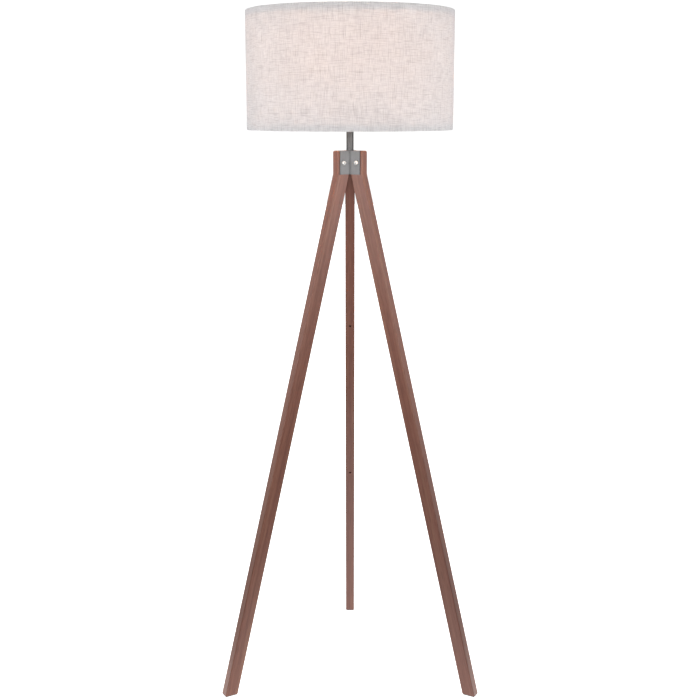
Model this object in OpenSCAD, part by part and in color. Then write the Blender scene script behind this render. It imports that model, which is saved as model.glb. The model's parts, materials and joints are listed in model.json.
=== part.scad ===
// Tripod floor lamp: three wood legs, a steel hub, a pole, a lampholder with a bulb, and a drum shade.
// Millimetres, +Z up. The origin is on the floor, on the axis of the pole.
// The rear leg points along +Y, and the two front legs stand 120 degrees either side of it.

/* [Overall] */
// Height from the floor to the top edge of the shade
total_h = 1510; // [1200:5:1900]

/* [Legs] */
// Angle between a leg's shaft and the vertical
leg_splay = 14.14; // [10:0.02:20]
// Width of a leg across its broad face
leg_w = 29.2; // [24:0.1:40]
// Thickness of a leg
leg_t = 21.4; // [17:0.1:26]
// Height of the upright head of a leg, on its inner face
leg_head_h = 53.4; // [50:0.1:75]
// Rounding of the outer top corner of a leg's head
leg_corner_r = 4; // [1:0.5:8]
// Diameter of the cord-tie holes in the rear leg
tie_hole_d = 5; // [3:0.5:8]
// Height of the upper cord-tie hole above the floor
tie_high_z = 803; // [600:1:900]
// Height of the lower cord-tie hole above the floor
tie_low_z = 414; // [200:1:500]
// Thickness of the rubber pad under each foot
foot_pad_h = 2; // [1:0.5:6]
// How far the pad's edge lies inside the foot's edge
foot_pad_inset = 1.2; // [0.5:0.1:4]

/* [Hub] */
// Thickness of the bent plates
plate_t = 2; // [1:0.1:3]
// Height of the bent plates
plate_h = 51.2; // [40:0.1:70]
// Distance from the lamp's axis to a plate's free edge, measured along the leg
plate_reach = 32; // [28:0.5:40]
// Inside radius of the plates' bend
plate_bend_r = 4.5; // [0.5:0.1:6]
// Distance from the lamp's axis to a hub bolt, measured along the leg
bolt_reach = 22.7; // [19:0.1:26]
// Distance from the top of the hub down to the hub bolts
bolt_drop = 25.9; // [15:0.1:35]
// Thread diameter of a hub bolt
bolt_d = 5; // [4:0.5:6]
// Diameter of the heads of the bolts and of the sleeve nuts
bolt_head_d = 9.5; // [8:0.5:12]
// Height of those heads
bolt_head_h = 2.7; // [1.5:0.1:4]
// Width across the flats of their hexagon sockets
bolt_socket_af = 3; // [2:0.5:4]
// Outer diameter of a sleeve nut's barrel
sleeve_d = 7; // [6.5:0.5:8]
// Height of the hub's core
core_h = 38; // [30:1:48]
// Width across the flats of the lock nut under the core
hub_nut_af = 14; // [13:0.5:16]
// Height of that lock nut
hub_nut_h = 4; // [2:0.5:6]
// Height of the cord bush under the lock nut
cable_bush_h = 9; // [6:0.5:14]

/* [Pole] */
// Outer diameter of the pole
pole_d = 16; // [14:0.1:22]
// Wall of the pole's tube
pole_wall = 1.2; // [0.8:0.1:1.6]
// Length of pole seen between the hub and the shade
pole_visible = 44.6; // [30:0.1:120]
// How far the pole rises inside the shade
pole_rise = 27; // [20:1:40]
// Length of the threaded plugs in the pole's ends
pole_insert_h = 12; // [8:1:20]
// Thread diameter of the hollow nipples
nipple_d = 10; // [8:0.5:10.5]
// Bore of the hollow nipples, which the wires pass through
nipple_bore_d = 7; // [4:0.5:7.5]

/* [Lampholder] */
// Diameter of the washer under the lampholder
washer_d = 25; // [20:1:34]
// Thickness of that washer
washer_t = 2; // [1:0.5:4]
// Height of the lampholder's lower cap
cap_h = 14; // [10:1:20]
// Height of the lampholder's body
holder_h = 46; // [44:1:56]
// Outer diameter of the threaded skirt of the body
skirt_d = 39; // [37:0.5:42]
// Outer diameter of the body below its shoulder
holder_d = 41; // [40:0.5:44]
// Outer diameter of the shoulder that the shade rests on
shoulder_d = 47; // [45:0.5:50]
// Height of the shoulder's top face above the foot of the body
shoulder_z = 19.5; // [18:0.5:24]
// Thickness of the shoulder
shoulder_t = 2.5; // [1.5:0.5:4]
// Wall of the body
holder_wall = 2; // [1.5:0.1:2.5]
// Height of the switch's axis above the foot of the body
switch_z = 7.5; // [7:0.5:9]
// Diameter of the switch's knob
knob_d = 14; // [10:0.5:14]
// Length of the switch's knob
knob_l = 14; // [10:0.5:20]
// Diameter of the switch's spindle
spindle_d = 5; // [4:0.5:6]
// Height of the ring nut that holds the shade
ring_nut_h = 7; // [5:0.5:12]

/* [Bulb] */
// Outer diameter of the bulb's screw cap
bulb_cap_d = 26.2; // [24:0.1:27]
// Largest diameter of the bulb
bulb_d = 60; // [50:1:66]
// Length of the bulb from its contact to its top
bulb_l = 110; // [100:1:120]

/* [Shade] */
// Outer diameter of the shade
shade_d = 450; // [300:5:540]
// Height of the shade
shade_h = 252; // [210:2:310]
// Thickness of the linen with its glue
linen_t = 0.8; // [0.5:0.1:1.5]
// Thickness of the stiff liner behind the linen
liner_t = 0.5; // [0.3:0.1:1]
// Height of the linen turned in over each wire ring
hem_h = 14; // [10:0.5:20]
// Diameter of the shade's wire rings
wire_d = 4; // [3:0.5:6]
// Diameter of the three spider arms
arm_d = 3.2; // [2.5:0.1:4]
// Width of the flat ring that sits on the shoulder
fitter_w = 7; // [6:0.5:10]
// Thickness of that flat ring
fitter_t = 1.5; // [1:0.1:2.5]

/* [Hidden] */
$fn = 96;

REAR = 90;
RIGHT = 330;
LEFT = 210;
ALL_LEGS = [REAR, RIGHT, LEFT];

// Clearances
thread_gap = 0.05;   // radial play between a thread and its nut
press_gap = 0.05;    // glued or pressed pieces, so that their faces never cross
hole_gap = 0.2;      // radial play of a bolt in its hole
turn_gap = 0.3;      // between pieces that turn past each other
spindle_gap = 0.05;  // radial play of the switch's spindle

// Heights
shade_bottom = total_h - shade_h;
hub_top = shade_bottom - pole_visible;
bolt_z = hub_top - bolt_drop;
knee_z = hub_top - leg_head_h;
core_bottom = hub_top - core_h;
hub_nut_bottom = core_bottom - hub_nut_h;
bush_bottom = hub_nut_bottom - cable_bush_h;
pole_top = shade_bottom + pole_rise;
cap_z = pole_top + washer_t;
holder_z = cap_z + cap_h;
shoulder_top = holder_z + shoulder_z;
holder_top = holder_z + holder_h;
switch_axis_z = holder_z + switch_z;

// Hub: the heads stand clear of the core, of the pole and of the lock nut
head_gap = 0.2;
core_r = max(pole_d, hub_nut_af) / 2;
head_r = core_r + head_gap;
bend_outer_r = plate_bend_r + plate_t;
ridge_r = leg_t / 2 / sin(60);
bend_centre_r = ridge_r + (plate_t + plate_bend_r) / sin(60);
core_corner_r = bend_centre_r - bend_outer_r;
plate_outer_y = leg_t / 2 + plate_t;
sleeve_l = leg_t + 2 * plate_t - 3;
socket_depth = 1.8;
nipple_grip = 10;
bush_grip = 6;
bush_lip_h = 2;

// Leg shaft, which starts at the knee and is cut level with the pad's top
shaft_foot_r = head_r + (knee_z - foot_pad_h) * tan(leg_splay);
foot_w = leg_w / cos(leg_splay);

// Lampholder
skirt_r = skirt_d / 2;
holder_bore_r = skirt_r - holder_wall;
core_disc_h = 15;
core_disc_z = shoulder_top - core_disc_h - 1;
core_disc_top = core_disc_z + core_disc_h;
screw_shell_gap = 0.2;
screw_shell_t = 0.4;
screw_shell_h = 25;
contact_h = 2.5;
terminal_x = 9;
terminal_head_d = 6;
terminal_head_h = 2.5;
terminal_d = 3;
terminal_l = 7;
neck_r = nipple_d / 2 + 3.5;
neck_h = 5;
switch_bush_r = spindle_d / 2 + 2;
switch_bush_reach = shoulder_d / 2 + 0.5;
knob_x = switch_bush_reach + turn_gap;
spindle_in_x = 8;
knob_grip = 10;
knob_flutes = 12;
ring_nut_r = skirt_r + 4.5;
ring_nut_flutes = 24;
flute_r = 0.6;

// Bulb
bulb_tip_z = core_disc_top + contact_h;
bulb_r = bulb_d / 2;
bulb_top = bulb_tip_z + bulb_l;
bulb_centre_z = bulb_top - bulb_r;
bulb_tip_h = 1.5;
bulb_tip_r = 4.8;
bulb_glass_h = 4;
bulb_cap_r = bulb_cap_d / 2;
bulb_cap_t = 0.4;
bulb_cap_z = bulb_tip_z + bulb_tip_h + bulb_glass_h;
bulb_cap_h = 20;
bulb_collar_r = bulb_cap_r + 1.4;
bulb_collar_h = 3;
bulb_wall = 1.6;
dome_wall = 1.2;
dome_cut = 14;
dome_base_r = sqrt(bulb_r * bulb_r - dome_cut * dome_cut);
bulb_body_top = bulb_centre_z - dome_cut;
board_h = 1.5;

// Shade
shade_r = shade_d / 2;
wire_ring_r = shade_r - linen_t - liner_t - wire_d / 2 - 2 * press_gap;
wire_low_z = shade_bottom + linen_t + press_gap + wire_d / 2;
wire_high_z = total_h - linen_t - press_gap - wire_d / 2;
hem_out_r = wire_ring_r - wire_d / 2 - press_gap;
hem_in_r = hem_out_r - linen_t;
fitter_z = shoulder_top + turn_gap;
fitter_in_r = skirt_r + turn_gap;
fitter_out_r = ring_nut_r + fitter_w / 2;
ring_nut_z = fitter_z + fitter_t + turn_gap;
arm_start_r = fitter_out_r - 1;
arm_start_z = fitter_z + fitter_t + arm_d / 2;
arm_slit_w = arm_d + 2;

wood = [0.50, 0.33, 0.28];
hub_grey = [0.55, 0.55, 0.56];
nickel = [0.85, 0.85, 0.86];
brass = [0.80, 0.64, 0.30];
linen = [0.93, 0.88, 0.86];
dark_plastic = [0.12, 0.12, 0.13];

// ---- Shapes used more than once ----

module tube(outer_r, inner_r, h) {
    difference() {
        cylinder(r = outer_r, h = h);
        translate([0, 0, -1]) cylinder(r = inner_r, h = h + 2);
    }
}

// A prism with an axial hole; flats is the width across its flat sides
module hex_nut(flats, hole_r, h) {
    difference() {
        cylinder(d = flats / cos(30), h = h, $fn = 6);
        translate([0, 0, -1]) cylinder(r = hole_r, h = h + 2);
    }
}

// ---- Legs ----

// The side of a leg: x is the distance from the lamp's axis, y the height
module leg_side() {
    head_out_r = head_r + leg_w;
    mitre_rise = leg_w * tan(leg_splay / 2);
    polygon(concat(
        [[head_r, hub_top], [head_r, knee_z], [shaft_foot_r, foot_pad_h],
         [shaft_foot_r + foot_w, foot_pad_h], [head_out_r, knee_z + mitre_rise]],
        [for (a = [0:10:90]) [head_out_r - leg_corner_r * (1 - cos(a)), hub_top - leg_corner_r * (1 - sin(a))]]
    ));
}

// Straight through the shaft's narrow faces, at height z on the inner face
module tie_hole(z) {
    translate([head_r + (knee_z - z) * tan(leg_splay), 0, z]) rotate([0, 90 - leg_splay, 0])
        cylinder(d = tie_hole_d, h = 4 * leg_w, center = true);
}

module leg(azimuth, with_tie_holes = false) {
    color(wood) rotate([0, 0, azimuth]) difference() {
        rotate([90, 0, 0]) linear_extrude(leg_t, center = true) leg_side();
        translate([bolt_reach, 0, bolt_z]) rotate([90, 0, 0])
            cylinder(r = sleeve_d / 2 + hole_gap, h = 2 * leg_t, center = true);
        if (with_tie_holes) {
            tie_hole(tie_high_z);
            tie_hole(tie_low_z);
        }
    }
}

module foot_pad(azimuth) {
    pad_w = foot_w - 2 * foot_pad_inset;
    pad_t = leg_t - 2 * foot_pad_inset;
    color(dark_plastic) rotate([0, 0, azimuth]) translate([shaft_foot_r + foot_pad_inset, -pad_t / 2, 0])
        cube([pad_w, pad_t, foot_pad_h]);
}

// ---- Hub ----

// A point on the leg at 60 degrees to the bisector; side is 1 for the leg ahead and -1 for its mirror
function along_leg(x, y, side) = [x * cos(60) - y * sin(60), side * (x * sin(60) + y * cos(60))];

// The V-bent plate between two legs, seen from above; its bisector is +X
module plate_outline() {
    bend = [for (a = [150:10:210]) [bend_centre_r + bend_outer_r * cos(a), bend_outer_r * sin(a)]];
    valley = [for (a = [210:-10:150]) [bend_centre_r + plate_bend_r * cos(a), plate_bend_r * sin(a)]];
    polygon(concat(
        [along_leg(plate_reach, -plate_outer_y, 1), along_leg(plate_reach, -leg_t / 2, 1)],
        bend,
        [along_leg(plate_reach, -leg_t / 2, -1), along_leg(plate_reach, -plate_outer_y, -1)],
        valley
    ));
}

module bracket(azimuth) {
    color(hub_grey) rotate([0, 0, azimuth]) difference() {
        translate([0, 0, hub_top - plate_h]) linear_extrude(plate_h) plate_outline();
        for (side = [-60, 60])
            rotate([0, 0, side]) translate([bolt_reach, 0, bolt_z]) rotate([90, 0, 0])
                cylinder(r = sleeve_d / 2 + hole_gap, h = leg_t + 4 * plate_t, center = true);
    }
}

// A low domed head with a hexagon socket, standing on z = 0 and pointing up
module socket_head() {
    dome_r = (bolt_head_d * bolt_head_d / 4 + bolt_head_h * bolt_head_h) / (2 * bolt_head_h);
    difference() {
        intersection() {
            cylinder(d = bolt_head_d, h = bolt_head_h);
            translate([0, 0, bolt_head_h - dome_r]) sphere(dome_r);
        }
        translate([0, 0, bolt_head_h - socket_depth])
            cylinder(d = bolt_socket_af / cos(30), h = bolt_head_h, $fn = 6);
    }
}

// Places a bolt or nut at a leg's hub bolt; its seat is a plate's outer face and it points away from the leg
module at_hub_bolt(azimuth, side) {
    rotate([0, 0, azimuth]) translate([bolt_reach, side * plate_outer_y, bolt_z])
        rotate([-side * 90, 0, 0]) children();
}

module hub_bolts() {
    color(nickel) for (azimuth = ALL_LEGS) at_hub_bolt(azimuth, -1) {
        union() {
            socket_head();
            translate([0, 0, 2 - sleeve_l]) cylinder(d = bolt_d, h = sleeve_l - 2);
        }
    }
}

module sleeve_nuts() {
    color(nickel) for (azimuth = ALL_LEGS) at_hub_bolt(azimuth, 1) {
        union() {
            socket_head();
            translate([0, 0, -sleeve_l]) difference() {
                cylinder(d = sleeve_d, h = sleeve_l);
                translate([0, 0, -1]) cylinder(r = bolt_d / 2 + thread_gap, h = sleeve_l);
            }
        }
    }
}

module hub_core() {
    color(hub_grey) translate([0, 0, core_bottom]) difference() {
        linear_extrude(core_h) intersection() {
            rotate(30) circle(r = 2 * core_r, $fn = 3);
            rotate(90) circle(r = 2 * core_corner_r, $fn = 3);
        }
        translate([0, 0, -1]) cylinder(r = nipple_d / 2 + thread_gap, h = core_h + 2);
    }
}

module nipple(z_low, z_high) {
    color(nickel) translate([0, 0, z_low]) tube(nipple_d / 2, nipple_bore_d / 2, z_high - z_low);
}

module hub_nut() {
    color(nickel) translate([0, 0, hub_nut_bottom])
        hex_nut(hub_nut_af, nipple_d / 2 + thread_gap, hub_nut_h);
}

module cable_bush() {
    bush_r = hub_nut_af / 2;
    color(dark_plastic) translate([0, 0, bush_bottom]) rotate_extrude() polygon(concat(
        [[nipple_d / 2 + thread_gap, cable_bush_h], [nipple_d / 2 + thread_gap, cable_bush_h - bush_grip],
         [nipple_bore_d / 2, cable_bush_h - bush_grip]],
        [for (a = [180:15:270])
            [nipple_bore_d / 2 + bush_lip_h / 2 * (1 + cos(a)), bush_lip_h / 2 * (1 + sin(a))]],
        [for (a = [270:15:360]) [bush_r - bush_lip_h * (1 - cos(a)), bush_lip_h * (1 + sin(a))]],
        [[bush_r, cable_bush_h]]
    ));
}

// ---- Pole ----

module pole() {
    color(hub_grey) translate([0, 0, hub_top]) tube(pole_d / 2, pole_d / 2 - pole_wall, pole_top - hub_top);
}

module pole_insert(z) {
    color(nickel) translate([0, 0, z])
        tube(pole_d / 2 - pole_wall - press_gap, nipple_d / 2 + thread_gap, pole_insert_h);
}

module holder_washer() {
    color(nickel) translate([0, 0, pole_top]) tube(washer_d / 2, nipple_d / 2 + hole_gap, washer_t);
}

// ---- Lampholder ----

module holder_cap() {
    cap_r = holder_d / 2;
    color(dark_plastic) translate([0, 0, cap_z]) rotate_extrude() polygon(concat(
        [[nipple_d / 2 + thread_gap, 0]],
        [for (a = [0:10:90]) [neck_r + (cap_r - neck_r) * sin(a), cap_h * (1 - cos(a)) * 0.85]],
        [[cap_r, cap_h], [cap_r - holder_wall, cap_h]],
        [for (a = [90:-10:0])
            [neck_r + (cap_r - holder_wall - neck_r) * sin(a), neck_h + (cap_h * 0.85 - neck_h) * (1 - cos(a))]],
        [[nipple_d / 2 + thread_gap, neck_h]]
    ));
}

module holder_body() {
    color(dark_plastic) difference() {
        translate([0, 0, holder_z]) rotate_extrude() polygon([
            [holder_bore_r, 0], [holder_d / 2, 0], [holder_d / 2, shoulder_z - shoulder_t],
            [shoulder_d / 2, shoulder_z - shoulder_t], [shoulder_d / 2, shoulder_z],
            [skirt_r, shoulder_z], [skirt_r, holder_h], [holder_bore_r, holder_h]
        ]);
        translate([0, 0, switch_axis_z]) rotate([0, 90, 0])
            cylinder(r = switch_bush_r + press_gap, h = shoulder_d);
    }
}

module holder_core() {
    color("white") difference() {
        translate([0, 0, core_disc_z]) cylinder(r = holder_bore_r - press_gap, h = core_disc_h);
        translate([0, 0, switch_axis_z]) rotate([0, 90, 0]) {
            translate([0, 0, spindle_in_x - 0.5]) cylinder(r = spindle_d / 2 + spindle_gap, h = shoulder_d);
            translate([0, 0, holder_bore_r - 3]) cylinder(r = switch_bush_r + press_gap, h = shoulder_d);
        }
        for (side = [-1, 1]) translate([0, side * terminal_x, core_disc_z - 1])
            cylinder(r = terminal_d / 2 + thread_gap, h = terminal_l + 1.5);
    }
}

module screw_shell() {
    inner_r = bulb_cap_r + screw_shell_gap;
    color(brass) translate([0, 0, core_disc_top]) rotate_extrude() polygon([
        [inner_r - 4, 0], [inner_r + screw_shell_t, 0], [inner_r + screw_shell_t, screw_shell_h],
        [inner_r, screw_shell_h], [inner_r, screw_shell_t], [inner_r - 4, screw_shell_t]
    ]);
}

module centre_contact() {
    color(brass) translate([0, 0, core_disc_top]) {
        cylinder(r = 5, h = 0.8);
        cylinder(r = 2.5, h = contact_h);
    }
}

module terminal_screws() {
    color(brass) for (side = [-1, 1]) translate([0, side * terminal_x, core_disc_z]) {
        cylinder(d = terminal_d, h = terminal_l);
        translate([0, 0, -terminal_head_h]) difference() {
            cylinder(d = terminal_head_d, h = terminal_head_h);
            translate([-terminal_head_d, -0.4, -1]) cube([2 * terminal_head_d, 0.8, 2]);
        }
    }
}

module shade_ring_nut() {
    color(dark_plastic) translate([0, 0, ring_nut_z]) difference() {
        tube(ring_nut_r, skirt_r + thread_gap, ring_nut_h);
        for (i = [1:ring_nut_flutes]) rotate([0, 0, i * 360 / ring_nut_flutes])
            translate([ring_nut_r, 0, -1]) cylinder(r = flute_r, h = ring_nut_h + 2, $fn = 24);
    }
}

// ---- Turn switch, on the +X side of the lampholder ----

module on_switch_axis(x) {
    translate([x, 0, switch_axis_z]) rotate([0, 90, 0]) children();
}

module switch_bush() {
    start_x = holder_bore_r - 3 + press_gap;
    color(nickel) on_switch_axis(start_x)
        tube(switch_bush_r, spindle_d / 2 + spindle_gap, switch_bush_reach - start_x);
}

module switch_spindle() {
    color(nickel) on_switch_axis(spindle_in_x)
        cylinder(d = spindle_d, h = knob_x + knob_grip - spindle_in_x);
}

module switch_knob() {
    color(dark_plastic) on_switch_axis(knob_x) difference() {
        cylinder(d = knob_d, h = knob_l);
        translate([0, 0, -1]) cylinder(r = spindle_d / 2 + press_gap, h = knob_grip + 1);
        for (i = [1:knob_flutes]) rotate([0, 0, i * 360 / knob_flutes])
            translate([knob_d / 2, 0, 2]) cylinder(r = flute_r, h = knob_l, $fn = 24);
    }
}

// ---- Bulb ----

module bulb_contact() {
    color(nickel) translate([0, 0, bulb_tip_z]) rotate_extrude() polygon([
        [0, 0], [bulb_tip_r - 1.5, 0], [bulb_tip_r, bulb_tip_h], [0, bulb_tip_h]
    ]);
}

module bulb_insulator() {
    color("black") translate([0, 0, bulb_tip_z + bulb_tip_h])
        cylinder(r1 = bulb_tip_r + 0.5, r2 = bulb_cap_r - 1.5, h = bulb_glass_h);
}

module bulb_cap() {
    color(nickel) translate([0, 0, bulb_cap_z]) rotate_extrude() polygon([
        [bulb_cap_r - 3, 0], [bulb_cap_r - 1, 0], [bulb_cap_r, 1], [bulb_cap_r, bulb_cap_h],
        [bulb_cap_r - bulb_cap_t, bulb_cap_h], [bulb_cap_r - bulb_cap_t, bulb_cap_t + 1],
        [bulb_cap_r - 3, bulb_cap_t]
    ]);
}

// The flared white body: a plug inside the cap, a collar, and a flare that meets the dome
module bulb_body() {
    flare_z = bulb_cap_z + bulb_cap_h + bulb_collar_h;
    flare_h = bulb_body_top - flare_z;
    plug_r = bulb_cap_r - bulb_cap_t - press_gap;
    color("white") rotate_extrude() polygon(concat(
        [[plug_r, bulb_cap_z + 6], [plug_r, bulb_cap_z + bulb_cap_h],
         [bulb_collar_r, bulb_cap_z + bulb_cap_h], [bulb_collar_r, flare_z]],
        [for (a = [10:10:90]) [bulb_collar_r + (dome_base_r - bulb_collar_r) * sin(a / 2) / sin(45),
                               flare_z + flare_h * a / 90]],
        [[dome_base_r - bulb_wall, bulb_body_top], [dome_base_r - bulb_wall, bulb_body_top - board_h],
         [dome_base_r - 2 * bulb_wall, bulb_body_top - board_h]],
        [for (a = [80:-10:0])
            [bulb_collar_r - 2 * bulb_wall + (dome_base_r - bulb_collar_r) * sin(a / 2) / sin(45),
             flare_z + (flare_h - board_h) * a / 90]],
        [[bulb_collar_r - 2 * bulb_wall, bulb_cap_z + 6]]
    ));
}

module bulb_board() {
    color(nickel) translate([0, 0, bulb_body_top - board_h])
        cylinder(r = dome_base_r - bulb_wall - press_gap, h = board_h);
}

module bulb_dome() {
    color("ivory") difference() {
        translate([0, 0, bulb_centre_z]) difference() {
            sphere(bulb_r);
            sphere(bulb_r - dome_wall);
        }
        translate([-bulb_d, -bulb_d, bulb_body_top - 2 * bulb_d]) cube([2 * bulb_d, 2 * bulb_d, 2 * bulb_d]);
    }
}

// ---- Shade ----

module fitter_ring() {
    color("white") translate([0, 0, fitter_z]) tube(fitter_out_r, fitter_in_r, fitter_t);
}

module spider_arms() {
    run = wire_ring_r - arm_start_r;
    drop = arm_start_z - wire_low_z;
    color("white") for (azimuth = ALL_LEGS) rotate([0, 0, azimuth])
        translate([arm_start_r, 0, arm_start_z]) rotate([0, 90 + atan2(drop, run), 0])
            cylinder(d = arm_d, h = norm([run, drop]), $fn = 48);
}

module wire_ring(z) {
    color("white") translate([0, 0, z]) rotate_extrude() translate([wire_ring_r, 0]) circle(d = wire_d, $fn = 32);
}

module shade_liner() {
    low = linen_t + press_gap;
    color("white") translate([0, 0, shade_bottom + low])
        tube(shade_r - linen_t - press_gap, shade_r - linen_t - press_gap - liner_t, shade_h - 2 * low);
}

// One cloth wall with a hem turned in over each wire ring, slit where the arms pass
module shade_linen() {
    color(linen) difference() {
        translate([0, 0, shade_bottom]) rotate_extrude() polygon([
            [shade_r, 0], [shade_r, shade_h], [hem_in_r, shade_h], [hem_in_r, shade_h - hem_h],
            [hem_out_r, shade_h - hem_h], [hem_out_r, shade_h - linen_t],
            [shade_r - linen_t, shade_h - linen_t], [shade_r - linen_t, linen_t],
            [hem_out_r, linen_t], [hem_out_r, hem_h], [hem_in_r, hem_h], [hem_in_r, 0]
        ]);
        for (azimuth = ALL_LEGS) rotate([0, 0, azimuth])
            translate([hem_in_r - wire_d, -arm_slit_w / 2, wire_low_z - arm_d / 2])
                cube([wire_d + linen_t + press_gap, arm_slit_w, 2 * hem_h]);
    }
}

leg(LEFT);  // leg_left
leg(RIGHT);  // leg_right
leg(REAR, with_tie_holes = true);  // leg_rear
foot_pad(LEFT);  // foot_pad_left
foot_pad(RIGHT);  // foot_pad_right
foot_pad(REAR);  // foot_pad_rear
bracket(LEFT + 60);  // bracket_front
bracket(REAR + 60);  // bracket_left
bracket(RIGHT + 60);  // bracket_right
hub_bolts();
sleeve_nuts();
hub_core();
nipple(hub_nut_bottom - bush_grip, hub_top + nipple_grip);  // hub_nipple
hub_nut();
cable_bush();
pole();
pole_insert(hub_top);  // pole_insert_bottom
pole_insert(pole_top - pole_insert_h);  // pole_insert_top
nipple(pole_top - nipple_grip, cap_z + neck_h);  // holder_nipple
holder_washer();
holder_cap();
holder_body();
holder_core();
screw_shell();
centre_contact();
terminal_screws();
shade_ring_nut();
switch_bush();
switch_spindle();
switch_knob();
bulb_contact();
bulb_insulator();
bulb_cap();
bulb_body();
bulb_board();
bulb_dome();
fitter_ring();
spider_arms();
wire_ring(wire_low_z);  // wire_bottom
wire_ring(wire_high_z);  // wire_top
shade_liner();
shade_linen();
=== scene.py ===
import json
import math

import bmesh
import bpy
from mathutils import Matrix, Vector, noise as field


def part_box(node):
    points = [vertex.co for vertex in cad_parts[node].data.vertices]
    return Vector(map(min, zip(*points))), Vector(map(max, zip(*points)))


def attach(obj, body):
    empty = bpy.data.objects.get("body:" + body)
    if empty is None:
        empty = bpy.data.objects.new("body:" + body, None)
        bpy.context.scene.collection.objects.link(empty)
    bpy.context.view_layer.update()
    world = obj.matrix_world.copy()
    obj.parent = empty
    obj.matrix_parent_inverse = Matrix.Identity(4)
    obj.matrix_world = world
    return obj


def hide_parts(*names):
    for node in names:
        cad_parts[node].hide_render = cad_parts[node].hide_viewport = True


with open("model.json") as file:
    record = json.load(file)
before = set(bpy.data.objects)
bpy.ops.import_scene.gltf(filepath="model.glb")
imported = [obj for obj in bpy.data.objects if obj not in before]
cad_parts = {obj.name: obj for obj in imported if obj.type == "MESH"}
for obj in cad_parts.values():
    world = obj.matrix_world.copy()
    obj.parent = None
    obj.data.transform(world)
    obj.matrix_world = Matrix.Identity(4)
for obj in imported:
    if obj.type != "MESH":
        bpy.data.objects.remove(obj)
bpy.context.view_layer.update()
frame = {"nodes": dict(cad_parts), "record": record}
NODES = frame["nodes"]
MM = 0.001

# How brightly the studio shines: the sky and floor as the camera sees them, the sky as it lights the lamp
# from the front and from behind, and the lights' power in watts. SHEET_AHEAD is the share of the light
# passing the shade's sheets that keeps its course
SKY_SEEN = 1.1
SKY_FRONT = 0.11
SKY_BACK = 0.9
KEY_POWER = 3.9
FRONT_POWER = 4.5
POOL_POWER = 4.4
BULB_POWER = 9.8
BULB_GLOW = 0.55
SHEET_AHEAD = 0.72

# ---- Sizes, in metres, read from the frame or chosen here ----

linen_low, linen_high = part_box("shade_linen")
_, liner_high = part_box("shade_liner")
wire_low, wire_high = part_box("wire_bottom")
leg_low, leg_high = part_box("leg_rear")
pad_low, pad_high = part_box("foot_pad_rear")
bolt_low, bolt_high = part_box("hub_bolts")

REAR, RIGHT, LEFT = (math.radians(a) for a in (90, 330, 210))

LEG_SPLAY = math.radians(14.14)
LEG_KNEE_Z = 1160 * MM
LEG_CORNER_R = 4 * MM
LEG_EDGE_R = 1.8 * MM
leg_head_r = leg_low.y
leg_t = leg_high.x - leg_low.x
leg_foot_r = leg_head_r + (LEG_KNEE_Z - leg_low.z) * math.tan(LEG_SPLAY)
leg_w = (leg_high.y - leg_foot_r) * math.cos(LEG_SPLAY)
TIE_HOLE_R = 2.5 * MM
TIE_HOLE_HEIGHTS = (803 * MM, 414 * MM)

SHADE_R = linen_high.x
SHADE_BOTTOM = linen_low.z
SHADE_TOP = linen_high.z
LINEN_T = 0.8 * MM
LINER_T = 0.5 * MM
HEM_H = 14 * MM
WIRE_D = 4 * MM
FIT_GAP = 0.05 * MM
HEM_R = wire_high.x - WIRE_D - FIT_GAP


# ---- Small helpers ----

def tone(code, alpha=1.0):
    """An sRGB hex colour as a linear RGBA tuple."""
    channels = [int(code[i:i + 2], 16) / 255 for i in (1, 3, 5)]
    linear = [c / 12.92 if c <= 0.04045 else ((c + 0.055) / 1.055) ** 2.4 for c in channels]
    return (*linear, alpha)


def add(tree, kind, inputs=None, **settings):
    """Adds a node with its settings, and gives its inputs values or links."""
    node = tree.nodes.new(kind)
    for name, value in settings.items():
        setattr(node, name, value)
    for name, value in (inputs or {}).items():
        if isinstance(value, bpy.types.NodeSocket):
            tree.links.new(value, node.inputs[name])
        else:
            node.inputs[name].default_value = value
    return node


def ramp(tree, factor, stops):
    """A colour ramp through (position, hex colour) stops."""
    node = add(tree, "ShaderNodeValToRGB", {"Fac": factor})
    elements = node.color_ramp.elements
    while len(elements) < len(stops):
        elements.new(1.0)
    for element, (place, code) in zip(elements, stops):
        element.position = place
        element.color = tone(code)
    return node.outputs["Color"]


def spread(tree, factor, low, high):
    """Maps a 0 to 1 value to the range from low to high."""
    node = add(tree, "ShaderNodeMapRange", {"Value": factor, "To Min": low, "To Max": high})
    return node.outputs["Result"]


def noise(tree, where, per_metre, detail=3.0, rough=0.55):
    """Noise whose cells are 1 / per_metre wide, along each axis."""
    mapping = add(tree, "ShaderNodeMapping", {"Vector": where, "Scale": per_metre})
    texture = add(tree, "ShaderNodeTexNoise",
                  {"Vector": mapping.outputs["Vector"], "Scale": 1.0, "Detail": detail, "Roughness": rough})
    return texture.outputs["Fac"]


def mixed(tree, mode, factor, a, b):
    """Two colours mixed in one blend mode. Sockets 0, 6 and 7 are the factor, A and B of a colour mix."""
    node = add(tree, "ShaderNodeMix", data_type="RGBA", blend_type=mode)
    for socket, value in ((node.inputs[0], factor), (node.inputs[6], a), (node.inputs[7], b)):
        if isinstance(value, bpy.types.NodeSocket):
            tree.links.new(value, socket)
        else:
            socket.default_value = value
    return node.outputs[2]


def bumped(tree, height, depth, strength=1.0):
    """A normal from a 0 to 1 height whose full step is depth metres."""
    node = add(tree, "ShaderNodeBump", {"Height": height, "Distance": depth, "Strength": strength})
    return node.outputs["Normal"]


def new_material(name):
    """An empty material: its tree, the place on the object, and the output node."""
    material = bpy.data.materials.new(name)
    material.use_nodes = True
    tree = material.node_tree
    tree.nodes.clear()
    output = add(tree, "ShaderNodeOutputMaterial")
    place = add(tree, "ShaderNodeTexCoord").outputs["Object"]
    return material, tree, place, output


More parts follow.
